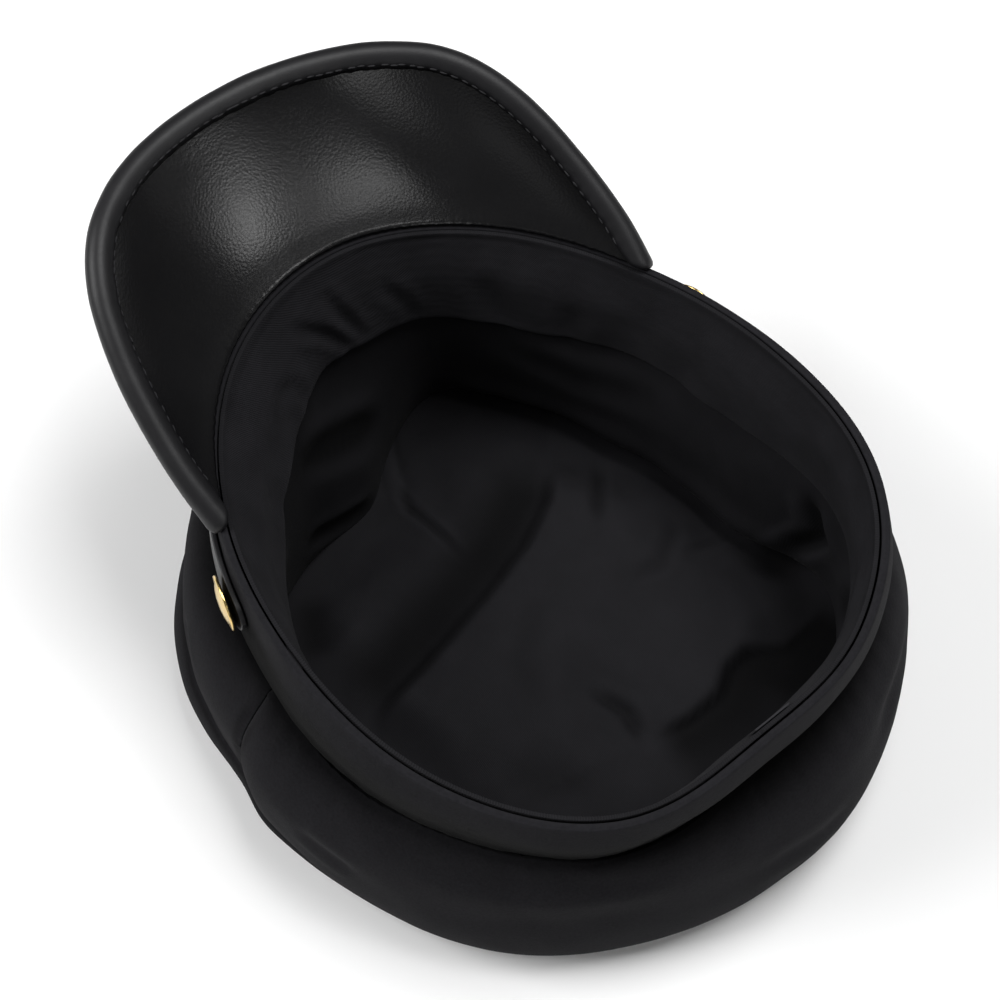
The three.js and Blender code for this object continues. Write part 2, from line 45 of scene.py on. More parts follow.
centre = Vector((1.3, 14.2, 0)) * mm  # middle of the rim's oval
rimOval = (172, 200)  # its width and length, over the band
crownOval = (225, 230)
rimHeight = 95
mesh = {"merge": 0.02, "hemAngle": 50, "hemSpacing": 1.5}


def linked(data, name):
    piece = bpy.data.objects.new(name, data)
    scene.collection.objects.link(piece)
    return piece


def applied(piece):
    shown = piece.evaluated_get(bpy.context.evaluated_depsgraph_get())
    smoothed = bpy.data.meshes.new_from_object(shown)
    piece.modifiers.clear()
    piece.data = smoothed


def fromBmesh(bm, name):
    made = bpy.data.meshes.new(name)
    bm.to_mesh(made)
    bm.free()
    return linked(made, name)


def mergedCopy(nodeName):
    bm = bmesh.new()
    bm.from_mesh(nodes[nodeName].data)
    bmesh.ops.remove_doubles(bm, verts=bm.verts, dist=mesh["merge"] * mm)
    return bm


def finish(piece):
    piece.data.shade_smooth()
    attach(piece, "root")


def refined(nodeName, name, levels, hem=0.55):
    # A CAD node's copy: merged, in quads and smoothed, with its sharp edges kept as hems.
    bm = mergedCopy(nodeName)
    bmesh.ops.join_triangles(
        bm, faces=bm.faces, angle_face_threshold=1.0, angle_shape_threshold=3.1
    )
    crease = bm.edges.layers.float.new("crease_edge")
    hemPoints = []
    for edge in bm.edges:
        if edge.calc_face_angle(0) > math.radians(mesh["hemAngle"]):
            edge[crease] = hem
            start, end = (vert.co for vert in edge.verts)
            steps = max(1, round((end - start).length / (mesh["hemSpacing"] * mm)))
            hemPoints += [start.lerp(end, i / steps) for i in range(steps)]
    piece = fromBmesh(bm, name)
    smoothing = piece.modifiers.new("smoothing", "SUBSURF")
    smoothing.levels = smoothing.render_levels = levels
    applied(piece)
    finish(piece)
    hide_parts(nodeName)
    print("refined", name, len(piece.data.polygons), "faces")
    return piece, hemPoints


def readPoints(piece):
    points = np.empty(3 * len(piece.data.vertices))
    piece.data.vertices.foreach_get("co", points)
    return points.reshape(-1, 3) / mm


def readNormals(piece):
    normals = np.empty(3 * len(piece.data.vertices))
    piece.data.vertex_normals.foreach_get("vector", normals)
    return normals.reshape(-1, 3)


def writePoints(piece, points):
    piece.data.vertices.foreach_set("co", (points * mm).ravel())
    piece.data.update()


def writeAttribute(piece, name, values):
    layer = piece.data.attributes.new(name, "FLOAT", "POINT")
    layer.data.foreach_set("value", values.astype(np.float32))


def turns(points, oval):
    # Each point's angle round the oval, from the front.
    x = (points[:, 0] - centre.x / mm) / oval[0]
    y = (points[:, 1] - centre.y / mm) / oval[1]
    return np.degrees(np.arctan2(x, -y))


def radial(points, oval):
    # Level direction out of the hat, square to its oval.
    out = np.zeros_like(points)
    out[:, 0] = (points[:, 0] - centre.x / mm) / oval[0] ** 2
    out[:, 1] = (points[:, 1] - centre.y / mm) / oval[1] ** 2
    return out / np.linalg.norm(out, axis=1)[:, None]


def turnBetween(a, b):
    return (a - b + 180) % 360 - 180


def bell(distance, width):
    # 1 at no distance, falling away on both sides.
    return np.exp(-((distance / width) ** 2))


def step(value, low, high):
    # 0 at the low value and 1 at the high one, smooth between them.
    share = np.clip((value - low) / (high - low), 0, 1)
    return share * share * (3 - 2 * share)


def wander(points, size, seed):
    # Smooth noise between -1 and 1, with swellings of about the given size.
    shift = Vector((seed * 7.3, seed * 3.1, seed * 5.7))
    return np.array([noise.noise(Vector(point) / size + shift) for point in points])


def downFromRim(points, at):
    # Height under the piece's own upper edge, which rises and falls round the rim.
    turnSteps = range(-180, 181, 4)
    tops = [points[np.abs(turnBetween(at, turn)) < 3, 2].max() for turn in turnSteps]
    return np.interp(at, turnSteps, tops) - points[:, 2]


def indexed(marks):
    index = kdtree.KDTree(len(marks))
    for i, mark in enumerate(marks):
        index.insert(mark, i)
    index.balance()
    return index


def distancesTo(points, marks):
    index = indexed(marks)
    return np.array([index.find(Vector(point) * mm)[2] for point in points]) / mm


def sampled(nodeName, spacing):
    # Points along the edges of a CAD node, close enough together to measure from.
    data = nodes[nodeName].data
    marks = []
    for edge in data.edges:
        start, end = (data.vertices[i].co for i in edge.vertices)
        steps = max(1, round((end - start).length / spacing))
        marks += [start.lerp(end, i / steps) for i in range(steps)]
    return marks


def alongLine(places, line):
    # Distance to a line of points, which side of it, and the share of the way along it.
    best = np.full(len(places), 1e9)
    side = np.ones(len(places))
    share = np.zeros(len(places))
    line = np.array(line, float)
    lengths = np.linalg.norm(np.diff(line, axis=0), axis=1)
    before = 0
    for start, end, length in zip(line[:-1], line[1:], lengths):
        way = end - start
        part = np.clip(((places - start) @ way) / length**2, 0, 1)
        offset = places - start - part[:, None] * way
        distance = np.linalg.norm(offset, axis=1)
        nearer = distance < best
        best[nearer] = distance[nearer]
        turned = way[0] * offset[:, 1] - way[1] * offset[:, 0]
        side[nearer] = np.sign(turned[nearer])
        share[nearer] = ((before + part * length) / lengths.sum())[nearer]
        before += length
    return best, side, share


def creased(places, folds):
    # Each fold is a dent with low lips beside it, which runs out towards both its ends.
    amount = np.zeros(len(places))
    for fold in folds:
        distance, _, share = alongLine(places, fold["line"])
        wide = fold["wide"]
        fade = step(share, -0.05, 0.3) * step(1 - share, -0.05, 0.3)
        lips = bell(distance - 2 * wide, 0.9 * wide)
        amount += fold["deep"] * fade * (bell(distance, wide) - 0.4 * lips)
    return amount


def mapOnto(piece, across, along):
    # A UV map in centimetres, from values worked out for each vertex.
    layer = piece.data.uv_layers.new(name="weave")
    corners = np.empty(len(piece.data.loops), int)
    piece.data.loops.foreach_get("vertex_index", corners)
    flat = np.stack([across[corners], along[corners]], 1) / 10
    layer.data.foreach_set("uv", flat.ravel())


def tree(kind, name):
    if kind == "material":
        made = bpy.data.materials.new(name)
        made.use_nodes = True
        made.node_tree.nodes.clear()
        return made, made.node_tree
    made = bpy.data.node_groups.new(name, "ShaderNodeTree")
    return made, made


def add(nodeTree, kind, inputs=None, **settings):
    made = nodeTree.nodes.new(kind)
    for key, value in settings.items():
        setattr(made, key, value)
    for key, value in (inputs or {}).items():
        if isinstance(value, bpy.types.NodeSocket):
            nodeTree.links.new(value, made.inputs[key])
        else:
            made.inputs[key].default_value = value
    return made


def maths(nodeTree, operation, a, b=0.0):
    return add(nodeTree, "ShaderNodeMath", {0: a, 1: b}, operation=operation).outputs[0]


def mixed(nodeTree, share, a, b):
    made = nodeTree.nodes.new("ShaderNodeMix")
    made.data_type = "RGBA"
    for key, value in (("Factor", share), (6, a), (7, b)):
        socket = made.inputs[key]
        if isinstance(value, bpy.types.NodeSocket):
            nodeTree.links.new(value, socket)
        else:
            socket.default_value = value
    return made.outputs[2]


def noiseTexture(nodeTree, vector, scale, detail=3.0, roughness=0.55):
    inputs = {"Vector": vector, "Scale": scale, "Detail": detail, "Roughness": roughness}
    return add(nodeTree, "ShaderNodeTexNoise", inputs).outputs["Fac"]


def groupTree(name, inputs, outputs):
    group, nodeTree = tree("group", name)
    kinds = {"colour": "NodeSocketColor", "value": "NodeSocketFloat"}
    for label, kind, value in inputs:
        socket = group.interface.new_socket(name=label, in_out="INPUT", socket_type=kinds[kind])
        socket.default_value = value
    for label, kind in outputs:
        group.interface.new_socket(name=label, in_out="OUTPUT", socket_type=kinds[kind])
    given = nodeTree.nodes.new("NodeGroupInput").outputs
    return group, given, nodeTree.nodes.new("NodeGroupOutput").inputs


def grey(value, red=1.02, blue=1.14):
    return (value * red, value, value * blue, 1)


# Woollen cloth: matted fibres over soft, uneven patches.
def feltedGroup():
    inputs = [
        ("Dark", "colour", grey(0.006)),
        ("Light", "colour", grey(0.012)),
        ("Fibre", "value", 0.7),
    ]
    outputs = [("Color", "colour"), ("Roughness", "value"), ("Height", "value")]
    group, given, out = groupTree("felted", inputs, outputs)
    place = add(group, "ShaderNodeTexCoord").outputs["Object"]
    size = maths(group, "DIVIDE", 1000.0, given["Fibre"])
    fibres = noiseTexture(group, place, size, 5.0, 0.7)
    patches = noiseTexture(group, place, 55.0, 3.0)
    share = maths(group, "SUBTRACT", maths(group, "MULTIPLY", fibres, 1.3), 0.35)
    share = maths(group, "ADD", share, maths(group, "MULTIPLY", patches, 0.4))
    tinted = mixed(group, share, given["Dark"], given["Light"])
    group.links.new(tinted, out["Color"])
    rough = maths(group, "ADD", maths(group, "MULTIPLY", patches, 0.1), 0.84)
    group.links.new(rough, out["Roughness"])
    group.links.new(fibres, out["Height"])
    return group


# Woven cloth on the piece's own map: diagonal twill lines or a plain weave.
def wovenGroup():
    inputs = [
        ("Dark", "colour", grey(0.006)),
        ("Light", "colour", grey(0.014)),
        ("Pitch", "value", 0.8),
        ("Slant", "value", 1.2),
        ("Cross", "value", 0.3),
    ]
    outputs = [("Color", "colour"), ("Roughness", "value"), ("Height", "value")]
    group, given, out = groupTree("woven", inputs, outputs)
    flat = add(group, "ShaderNodeSeparateXYZ", {0: add(group, "ShaderNodeTexCoord").outputs["UV"]})
    place = add(group, "ShaderNodeTexCoord").outputs["Object"]
    drift = maths(group, "MULTIPLY", noiseTexture(group, place, 120.0), 0.09)
    frequency = maths(group, "DIVIDE", 20 * math.pi, given["Pitch"])  # the map is in centimetres
    slanted = maths(group, "MULTIPLY", flat.outputs["Y"], given["Slant"])
    diagonal = maths(group, "ADD", maths(group, "ADD", flat.outputs["X"], slanted), drift)
    lines = maths(group, "SINE", maths(group, "MULTIPLY", diagonal, frequency))
    finer = maths(group, "MULTIPLY", frequency, 2.0)
    warp = maths(group, "SINE", maths(group, "MULTIPLY", flat.outputs["X"], finer))
    weft = maths(group, "SINE", maths(group, "MULTIPLY", flat.outputs["Y"], finer))
    threads = maths(group, "MULTIPLY", maths(group, "MULTIPLY", warp, weft), given["Cross"])
    height = maths(group, "ADD", lines, threads)
    patches = noiseTexture(group, place, 70.0, 4.0)
    worn = maths(group, "MULTIPLY", height, 0.22)
    worn = maths(group, "ADD", worn, maths(group, "MULTIPLY", patches, 0.9))
    group.links.new(mixed(group, worn, given["Dark"], given["Light"]), out["Color"])
    group.links.new(maths(group, "ADD", maths(group, "MULTIPLY", patches, 0.15), 0.72), out["Roughness"])
    group.links.new(height, out["Height"])
    return group


# Leather: fine pores and creases, with a shine that varies in soft smears.
def leatherGroup():
    inputs = [
        ("Dark", "colour", grey(0.004)),
        ("Light", "colour", grey(0.01)),
        ("Shine", "value", 0.32),
        ("Pores", "value", 0.9),
    ]
    outputs = [("Color", "colour"), ("Roughness", "value"), ("Height", "value")]
    group, given, out = groupTree("leatherGrain", inputs, outputs)
    place = add(group, "ShaderNodeTexCoord").outputs["Object"]
    size = maths(group, "DIVIDE", 1000.0, given["Pores"])
    cells = add(group, "ShaderNodeTexVoronoi", {"Vector": place, "Scale": size}).outputs["Distance"]
    fine = noiseTexture(group, place, maths(group, "MULTIPLY", size, 2.5), 3.0, 0.6)
    smears = noiseTexture(group, place, 38.0, 4.0, 0.6)
    grain = maths(group, "ADD", cells, maths(group, "MULTIPLY", fine, 0.2))
    group.links.new(mixed(group, smears, given["Dark"], given["Light"]), out["Color"])
    spread = maths(group, "MULTIPLY", maths(group, "SUBTRACT", smears, 0.5), 0.08)
    pitted = maths(group, "MULTIPLY", cells, 0.06)
    rough = maths(group, "ADD", maths(group, "ADD", given["Shine"], spread), pitted)
    group.links.new(rough, out["Roughness"])
    group.links.new(grain, out["Height"])
    return group


# Rubbed edges are lighter and duller by a piece's "edge" attribute, broken up by noise, and
# painted shade darkens creases, folds and joins towards black by its "deep" attribute.
def wornAndShadedGroup():
    inputs = [
        ("Color", "colour", grey(0.01)),
        ("Rubbed", "colour", grey(0.03)),
        ("Roughness", "value", 0.5),
        ("Amount", "value", 0.6),
        ("Dulled", "value", 0.1),
        ("PaintedShade", "value", 0.85),
    ]
    outputs = [("Color", "colour"), ("Roughness", "value")]
    group, given, out = groupTree("rubbedEdgesAndShade", inputs, outputs)
    edge = add(group, "ShaderNodeAttribute", attribute_name="edge").outputs["Fac"]
    place = add(group, "ShaderNodeTexCoord").outputs["Object"]
    broken = noiseTexture(group, place, 240.0, 4.0, 0.65)
    mask = maths(group, "MULTIPLY", maths(group, "MULTIPLY", edge, broken), given["Amount"])
    # Painted shade: the "deep" attribute darkens the colour towards black.
    deep = add(group, "ShaderNodeAttribute", attribute_name="deep").outputs["Fac"]
    sunk = maths(group, "MULTIPLY", deep, given["PaintedShade"])
    lit = mixed(group, mask, given["Color"], given["Rubbed"])
    group.links.new(mixed(group, sunk, lit, (0, 0, 0, 1)), out["Color"])
    dull = maths(group, "MULTIPLY", mask, given["Dulled"])
    group.links.new(maths(group, "ADD", given["Roughness"], dull), out["Roughness"])
    return group


felted, woven, grained, wornAndShaded = feltedGroup(), wovenGroup(), leatherGroup(), wornAndShadedGroup()


def surface(name, group, values, rub, shader, bump):
    # A material from one surface group, rubbed at the edges and darkened by painted shade, with a bump
    # from its height.
    made, nodeTree = tree("material", name)
    base = add(nodeTree, "ShaderNodeGroup", node_tree=group)
    for key, value in values.items():
        base.inputs[key].default_value = value
    worn = add(nodeTree, "ShaderNodeGroup", node_tree=wornAndShaded)
    nodeTree.links.new(base.outputs["Color"], worn.inputs["Color"])
    nodeTree.links.new(base.outputs["Roughness"], worn.inputs["Roughness"])
    for key, value in rub.items():
        worn.inputs[key].default_value = value
    height, depth = base.outputs["Height"], bump["depth"] * mm
    inputs = {"Height": height, "Strength": bump["strength"], "Distance": depth}
    relief = add(nodeTree, "ShaderNodeBump", inputs)
    body = add(nodeTree, "ShaderNodeBsdfPrincipled", shader)
    nodeTree.links.new(worn.outputs["Color"], body.inputs["Base Color"])
    nodeTree.links.new(worn.outputs["Roughness"], body.inputs["Roughness"])
    nodeTree.links.new(relief.outputs["Normal"], body.inputs["Normal"])
    out = nodeTree.nodes.new("ShaderNodeOutputMaterial")
    nodeTree.links.new(body.outputs["BSDF"], out.inputs["Surface"])
    return made


woolCloth = surface(
    "woolCloth",
    felted,
    {"Dark": grey(0.0045), "Light": grey(0.0165), "Fibre": 0.9},
    {"Rubbed": grey(0.024), "Amount": 0.5, "Dulled": 0.0, "PaintedShade": 0.93},
    {"Specular IOR Level": 0.05, "Sheen Weight": 0.015, "Sheen Roughness": 0.5},
    {"strength": 0.5, "depth": 0.3},
)
twillCloth = surface(
    "twillCloth",
    woven,
    {"Dark": grey(0.0085), "Light": grey(0.022), "Pitch": 0.75, "Slant": 1.1, "Cross": 0.35},
    {"Rubbed": grey(0.03), "Amount": 0.25, "Dulled": 0.0},
    {"Specular IOR Level": 0.08, "Sheen Weight": 0.015, "Sheen Roughness": 0.4},
    {"strength": 0.5, "depth": 0.12},
)
liningCloth = surface(
    "liningCloth",
    woven,
    {"Dark": grey(0.0085), "Light": grey(0.0155), "Pitch": 0.5, "Slant": 0.0, "Cross": 0.8},
    {"Rubbed": grey(0.03), "Amount": 0.3, "Dulled": 0.0},
    {"Specular IOR Level": 0.08, "Sheen Weight": 0.01, "Sheen Roughness": 0.4},
    {"strength": 0.35, "depth": 0.05},
)
tabCloth = surface(
    "tabCloth",
    woven,
    {"Dark": grey(0.012), "Light": grey(0.03), "Pitch": 0.45, "Slant": 0.0, "Cross": 0.6},
    {"Rubbed": grey(0.035), "Amount": 0.5, "Dulled": 0.0},
    {"Specular IOR Level": 0.2, "Sheen Weight": 0.02},
    {"strength": 0.4, "depth": 0.05},
)
visorLeather = surface(
    "visorLeather",
    grained,
    {"Dark": grey(0.0022), "Light": grey(0.005), "Shine": 0.19, "Pores": 0.85},
    {"Rubbed": grey(0.02), "Amount": 0.3, "Dulled": 0.1},
    {"Specular IOR Level": 0.47},
    {"strength": 0.3, "depth": 0.08},
)
bindingLeather = surface(
    "bindingLeather",
    grained,
    {"Dark": grey(0.004), "Light": grey(0.009), "Shine": 0.44, "Pores": 0.7},
    {"Rubbed": grey(0.014), "Amount": 0.4, "Dulled": 0.1},
    {"Specular IOR Level": 0.3},
    {"strength": 0.2, "depth": 0.08},
)
strapLeather = surface(
    "strapLeather",
    grained,
    {"Dark": grey(0.004), "Light": grey(0.01), "Shine": 0.36, "Pores": 0.7},
    {"Rubbed": grey(0.02), "Amount": 0.5, "Dulled": 0.1},
    {"Specular IOR Level": 0.35},
    {"strength": 0.25, "depth": 0.08},
)
sewingThread = surface(
    "sewingThread",
    felted,
    {"Dark": grey(0.006), "Light": grey(0.02), "Fibre": 0.25},
    {"Rubbed": grey(0.03), "Amount": 0.0, "Dulled": 0.0},
    {"Specular IOR Level": 0.4},
    {"strength": 0.4, "depth": 0.05},
)


def brassMaterial():
    made, nodeTree = tree("material", "polishedBrass")
    place = add(nodeTree, "ShaderNodeTexCoord").outputs["Object"]
    haze = noiseTexture(nodeTree, place, 420.0, 4.0, 0.6)
    scuffs = noiseTexture(nodeTree, place, 2600.0, 2.0, 0.7)
    colour = mixed(nodeTree, haze, (0.62, 0.42, 0.13, 1), (0.86, 0.66, 0.3, 1))
    rough = maths(nodeTree, "ADD", maths(nodeTree, "MULTIPLY", haze, 0.2), 0.12)
    inputs = {"Height": scuffs, "Strength": 0.1, "Distance": 0.03 * mm}
    relief = add(nodeTree, "ShaderNodeBump", inputs)
    inputs = {"Metallic": 1.0, "Base Color": colour, "Roughness": rough}
    body = add(nodeTree, "ShaderNodeBsdfPrincipled", inputs)
    nodeTree.links.new(relief.outputs["Normal"], body.inputs["Normal"])
    out = nodeTree.nodes.new("ShaderNodeOutputMaterial")
    nodeTree.links.new(body.outputs["BSDF"], out.inputs["Surface"])
    return made


brass = brassMaterial()


def dress(piece, material):
    piece.data.materials.clear()
    piece.data.materials.append(material)


# The crown: soft woollen cloth, drawn in at its seams and along the band.
crown = {
    "middle": (1.3, 14.2, 45),
    "swell": 1.0,
    "swellSize": 42,
    "ripple": 0.35,
    "rippleSize": 13,
    "seamDeep": 0.9,
    "seamWide": 1.3,
    "gatherDeep": 0.7,
    "gatherSize": 5.5,
    "gatherDown": 11,
    "bandFoot": 67,  # height at which the band goes into the crown
    "folds": [
        {"line": [(120, 31), (140, 36), (164, 39)], "wide": 5.5, "deep": 0.6},
        {"line": [(130, 24), (143, 28), (156, 30)], "wide": 4.5, "deep": 0.35},
        {"line": [(118, 53), (140, 55), (165, 54)], "wide": 3.2, "deep": 0.55},
        {"line": [(100, 40), (112, 33)], "wide": 3.5, "deep": 0.9},
        {"line": [(176, 36), (196, 30)], "wide": 4.0, "deep": 0.9},
        {"line": [(205, 44), (226, 38)], "wide": 4.0, "deep": 1.0},
        {"line": [(60, 45), (66, 34)], "wide": 3.5, "deep": 0.8},
        {"line": [(-70, 45), (-84, 36)], "wide": 4.0, "deep": 1.0},
        {"line": [(-40, 46), (-24, 40)], "wide": 4.0, "deep": 1.0},
        {"line": [(10, 47), (28, 41)], "wide": 4.0, "deep": 0.9},
    ],
}


def shapeCrown(piece, hemPoints):
    points = readPoints(piece)
    out = (points - np.array(crown["middle"])) * (1, 1, 1.8)
    out /= np.linalg.norm(out, axis=1)[:, None]
    at = turns(points, crownOval)
    hem = distancesTo(points, hemPoints)
    free = step(points[:, 2], 2, 16)
    amount = crown["swell"] * wander(points, crown["swellSize"], 1) * free
    amount += crown["ripple"] * wander(points, crown["rippleSize"], 2) * free
    arcOfDegree = math.radians(crownOval[0] / 2)
    arc = at * arcOfDegree
    places = np.stack([arc, points[:, 2]], 1)
    for fold in crown["folds"]:
        for lap in (-360, 0):
            line = [((turn + lap) * arcOfDegree, high) for turn, high in fold["line"]]
            amount -= creased(places, [{**fold, "line": line}]) * free
    gathers = wander(np.stack([arc, arc * 0, arc * 0], 1), crown["gatherSize"], 3)
    fromBand = crown["bandFoot"] - points[:, 2]
    amount += crown["gatherDeep"] * gathers * bell(fromBand, crown["gatherDown"]) * step(hem, 0, 4)
    amount -= crown["seamDeep"] * bell(hem, crown["seamWide"]) * free
    writePoints(piece, points + out * amount[:, None])
    # Rubbed wear lightens the seams, most towards the crown's top, where the lightening is also a
    # painted highlight on the top seam's ridge; painted shade darkens the crease under the band and a
    # strip beside those seams.
    topSeam = step(points[:, 2], 58, 50)
    writeAttribute(piece, "edge", bell(hem, 1.1) * (0.4 + 1.4 * topSeam) * free)
    writeAttribute(piece, "deep", bell(fromBand, 8) + 0.5 * bell(hem - 2.5, 1.5) * topSeam)
    dress(piece, woolCloth)


for nodeName, name in (
    ("crown_top", "crownTop"),
    ("crown_front_panel", "crownFront"),
    ("crown_back_panel", "crownBack"),
):
    shapeCrown(*refined(nodeName, name, 3))

# The band: a soft upright roll of the same cloth.
band = {
    "bulge": 2.2,
    "bulgeDown": 11,
    "tuckedIn": 1.6,
    "tuckedDown": (19, 32),
    "swell": 0.45,
    "swellSize": 24,
    "pucker": 0.3,
    "bareFrom": (100, 84),  # degrees from the back: farther on, visor and strap hold it flat
}


def shapeBand():
    piece, hemPoints = refined("band", "bandCloth", 3, hem=0.5)
    points = readPoints(piece)
    out = radial(points, rimOval)
    at = turns(points, rimOval)
    hem = distancesTo(points, hemPoints)
    inner = (readNormals(piece) * out).sum(1) < -0.3
    down = downFromRim(points, at)
    bare = step(np.abs(turnBetween(at, 180)), *band["bareFrom"])
    free = bare * step(down, 0, 9)
    amount = band["bulge"] * bare * bell(down - band["bulgeDown"], 9)
    amount -= band["tuckedIn"] * step(down, *band["tuckedDown"]) * (0.35 + 0.65 * bare)
    amount += band["swell"] * wander(points, band["swellSize"], 4) * free
    amount += band["pucker"] * wander(points * (1, 1, 0.3), 4.5, 5) * bell(hem, 5) * free
    amount[inner] *= 0.3
    writePoints(piece, points + out * amount[:, None])
    writeAttribute(piece, "edge", bell(hem, 1.2) * step(down, 8, 3))
    # Painted shade over the band's lower part, down into the crease where it meets the crown.
    writeAttribute(piece, "deep", step(down, 6, 16))
    dress(piece, woolCloth)


shapeBand()

# The sweatband: twill, sewn along the rim, with folds pressed into its free edge.
sweat = {
    "arc": 1.62,  # millimetres round the rim in one degree
    "border": 2.2,
    "groove": 0.5,
    "puff": 2.1,
    "swell": 0.5,
    "swellSize": 16,
    "folds": [
        {"line": [(6, 7), (3, 20), (-1, 36)], "wide": 2.4, "deep": 1.2},
        {"line": [(17, 9), (9, 22), (1, 39)], "wide": 2.2, "deep": 1.3},
        {"line": [(-7, 15), (-12, 26), (-15, 37)], "wide": 2.6, "deep": 0.7},
        {"line": [(29, 18), (22, 26), (19, 38)], "wide": 2.8, "deep": 0.8},
        {"line": [(50, 22), (44, 38)], "wide": 4.0, "deep": 0.5},
        {"line": [(-30, 14), (-36, 38)], "wide": 5.5, "deep": 1.1},
        {"line": [(-52, 20), (-47, 38)], "wide": 4.5, "deep": 0.8},
        {"line": [(-78, 22), (-72, 38)], "wide": 6.0, "deep": 0.8},
    ],
}


def shapeSweatband():
    piece, hemPoints = refined("sweatband", "sweatbandTwill", 3, hem=0.7)
    points = readPoints(piece)
    at = turns(points, rimOval)
    hem = distancesTo(points, hemPoints)
    down = downFromRim(points, at)
    places = np.stack([at * sweat["arc"], down], 1)
    lines = [
        {**fold, "line": [(turn * sweat["arc"], low) for turn, low in fold["line"]]}
        for fold in sweat["folds"]
    ]
    loose = step(down, 3, 20)
    pressed = creased(places, lines)
    lift = sweat["puff"] * loose - pressed * step(down, 2, 12)
    lift += sweat["swell"] * wander(points * (1, 1, 0.6), sweat["swellSize"], 6) * loose
    groove = sweat["groove"] * bell(down - sweat["border"], 0.5)
    amount = np.maximum(lift, 0) - groove
    writePoints(piece, points - radial(points, rimOval) * amount[:, None])
    writeAttribute(piece, "edge", bell(hem, 1.0))
    # Painted shade in the pressed folds, in the groove under the sewn border, and along the border's
    # top.
    shade = np.clip(pressed / 8, -0.1, 0.22) * step(down, 2, 12)
    shade += 0.5 * bell(down - sweat["border"], 0.6)
    writeAttribute(piece, "deep", shade + 0.4 * step(down, 1.6, 0.6))
    mapOnto(piece, at * sweat["arc"], down)
    dress(piece, twillCloth)


shapeSweatband()

# The loose lining: a soft curtain that falls in rolls, and a crumpled floor.
lining = {
    "overhang": 4.5,
    "wrinkle": 0.9,
    "wrinkleSize": 15,
    "crumples": ((0.55, 19), (0.35, 8)),  # each one's depth and size, on the floor
    "deepest": 3.2,
    "sideShade": 0.42,
    "sideFolds": [
        {"line": [(31, 46), (15, 58), (-1, 69)], "wide": 4.5, "deep": 2.2},
        {"line": [(40, 76), (28, 84), (12, 90)], "wide": 3.0, "deep": 2.0},
        {"line": [(52, 50), (60, 74)], "wide": 4.0, "deep": 1.6},
        {"line": [(-30, 50), (-52, 60), (-74, 56)], "wide": 4.0, "deep": 0.9},
        {"line": [(-108, 46), (-113, 62), (-108, 84)], "wide": 2.6, "deep": 3.2},
        {"line": [(-130, 50), (-122, 80)], "wide": 4.0, "deep": 1.4},
    ],
    # The floor stands higher on the left of each line, seen along it. Painted shade falls on the lower
    # side of each step, fading out over a given span, and fainter over the whole lower side.
    "floorSteps": [
        {
            "line": [(-38, -32), (-26, -19), (-10, -11), (9, -5), (28, 0), (50, 5), (66, 8)],
            "rise": 6.0,
            "wide": 5,
            "reach": 66,
            "shade": 0.66,
            "shadeSpan": (9, 24),
            "beyond": 0.2,
        },
        {
            "line": [(0, 66), (-15, 69), (-28, 68), (-36, 63), (-44, 62), (-56, 68), (-80, 64)],
            "rise": 4.4,
            "wide": 3,
            "reach": 30,
            "shade": 0.8,
            "shadeSpan": (5, 26),
            "beyond": 0.1,
        },
    ],
    "floorFolds": [
        {"line": [(-8, -82), (-1, -72), (5, -60), (8, -50)], "wide": 1.6, "deep": -2.2},
        {"line": [(1, -69), (6, -58), (8, -46), (6, -32), (5, -20)], "wide": 1.3, "deep": 1.3},
        {"line": [(-52, -22), (-47, -16), (-34, -1)], "wide": 2.2, "deep": 1.4},
        {"line": [(4, 42), (-2, 54), (1, 65)], "wide": 2.0, "deep": 1.7},
        {"line": [(-86, 34), (-66, 46)], "wide": 7.0, "deep": 2.4},
        {"line": [(-76, 30), (-64, 25), (-52, 23)], "wide": 1.5, "deep": 0.9},
        {"line": [(-58, 12), (-42, 22), (-30, 20)], "wide": 2.4, "deep": 0.8},
        {"line": [(44, 46), (28, 60), (22, 70)], "wide": 6.0, "deep": 0.8},
        {"line": [(64, -20), (52, -42)], "wide": 6.0, "deep": 1.6},
        {"line": [(-4, 8), (14, 22), (20, 38)], "wide": 5.0, "deep": 0.7},
    ],
}


def shapeLiningSide():
    piece, hemPoints = refined("lining_side", "liningSide", 3, hem=0.5)
    points = readPoints(piece)
    at = turns(points, rimOval)
    hem = distancesTo(points, hemPoints)
    down = rimHeight - points[:, 2]
    loose = step(down, 42, 54)
    far = step(np.abs(turnBetween(at, -68)), 52, 38)
    lines = [
        {**fold, "line": [(turn * sweat["arc"], low) for turn, low in fold["line"]]}
        for fold in lining["sideFolds"]
    ]
    pressed = creased(np.stack([at * sweat["arc"], down], 1), lines)
    amount = lining["overhang"] * far * bell(points[:, 2] - 14, 7)
    amount -= pressed * loose
    amount += lining["wrinkle"] * wander(points * (1, 1, 0.7), lining["wrinkleSize"], 7) * loose
    writePoints(piece, points - radial(points, rimOval) * (amount * step(hem, 0, 3))[:, None])
    writeAttribute(piece, "edge", bell(hem, 1.0))
    # Painted shade over the whole curtain, heaviest at 52 degrees round the rim and lightest opposite,
    # and more in its pressed folds.
    shadeRoundSide = 1 + 0.55 * np.cos(np.radians(at - 52))
    shade = lining["sideShade"] * shadeRoundSide + np.clip(pressed / 3, -0.3, 0.5)
    writeAttribute(piece, "deep", np.clip(shade, 0, 1))
    mapOnto(piece, at * sweat["arc"], down)
    dress(piece, liningCloth)


